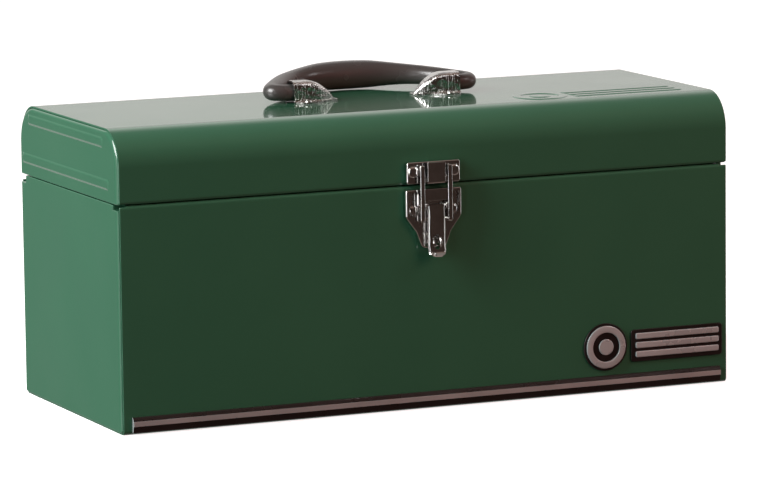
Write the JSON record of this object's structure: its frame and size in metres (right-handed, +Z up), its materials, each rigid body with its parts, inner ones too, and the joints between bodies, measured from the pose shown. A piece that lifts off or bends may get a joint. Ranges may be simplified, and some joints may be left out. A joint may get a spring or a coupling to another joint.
{
  "type": "metal tool box",
  "caption": "Portable folded-steel tool box with a hinged lid, swing handle, draw latch and lift-out tray.",
  "frame": {"origin": "middle of the underside of the bottom sheet, on the surface that the box stands on", "axes": "+X to the right along the box seen from the latch side, +Y to the hinge side, +Z up"},
  "size_m": [0.508, 0.2295, 0.25],
  "materials": {
    "green_paint": "gloss enamel, dark green",
    "chrome": "bright plated steel",
    "zinc_steel": "dull zinc plate",
    "dark_plastic": "satin moulded plastic, dark brown-black",
    "trim_metal": "dark bright trim",
    "badge_black": "black",
    "badge_silver": "satin silver"
  },
  "bodies": {
    "case": {"case_wrap": "green_paint", "case_end_left": "green_paint", "case_end_right": "green_paint", "tray_rail_left": "green_paint", "tray_rail_right": "green_paint", "hinge_leaf_case": "zinc_steel", "hinge_pin": "zinc_steel", "front_trim": "trim_metal", "latch_base": "chrome", "padlock_staple": "chrome", "lever_pin": "chrome", "base_rivet_left": "chrome", "base_rivet_right": "chrome", "badge_disc": "badge_black", "badge_plate": "badge_black", "badge_ring": "badge_silver", "badge_boss": "badge_silver", "badge_bar_1": "badge_silver", "badge_bar_2": "badge_silver", "badge_bar_3": "badge_silver"},
    "lid": {"lid_wrap": "green_paint", "lid_end_left": "green_paint", "lid_end_right": "green_paint", "hinge_leaf_lid": "zinc_steel", "latch_catch": "chrome", "catch_rivet_left": "chrome", "catch_rivet_right": "chrome", "handle_hood_left": "chrome", "handle_hood_right": "chrome", "hood_rivet_1": "chrome", "hood_rivet_2": "chrome", "hood_rivet_3": "chrome", "hood_rivet_4": "chrome"},
    "handle": {"handle_grip": "dark_plastic"},
    "lever": {"latch_lever": "chrome", "bail_pin": "chrome"},
    "bail": {"latch_bail": "chrome"},
    "tray": {"tray_pan": "green_paint", "tray_handle": "zinc_steel", "tray_divider_left": "green_paint", "tray_divider_right": "green_paint"}
  },
  "joints": [
    {"name": "lid_hinge", "type": "hinge", "parent": "case", "child": "lid", "pos_m": [0, 0.1032, 0.17005], "axis": [-1, 0, 0], "range_deg": [0, 95]},
    {"name": "handle_swing", "type": "hinge", "parent": "lid", "child": "handle", "pos_m": [0, 0, 0.2353], "axis": [1, 0, 0], "range_deg": [0, 172]},
    {"name": "lever_turn", "type": "hinge", "parent": "case", "child": "lever", "pos_m": [0, -0.114, 0.157], "axis": [-1, 0, 0], "range_deg": [0, 120]},
    {"name": "bail_turn", "type": "hinge", "parent": "lever", "child": "bail", "pos_m": [0, -0.114, 0.147], "axis": [-1, 0, 0], "range_deg": [-144, 0]},
    {"name": "tray_lift", "type": "slide", "parent": "case", "child": "tray", "axis": [0, 0, 1], "range_m": [0, 0.04]}
  ],
  "couplings": [
    {"joint": "bail_turn", "follows": "lever_turn", "ratio": -1.2}
  ]
}
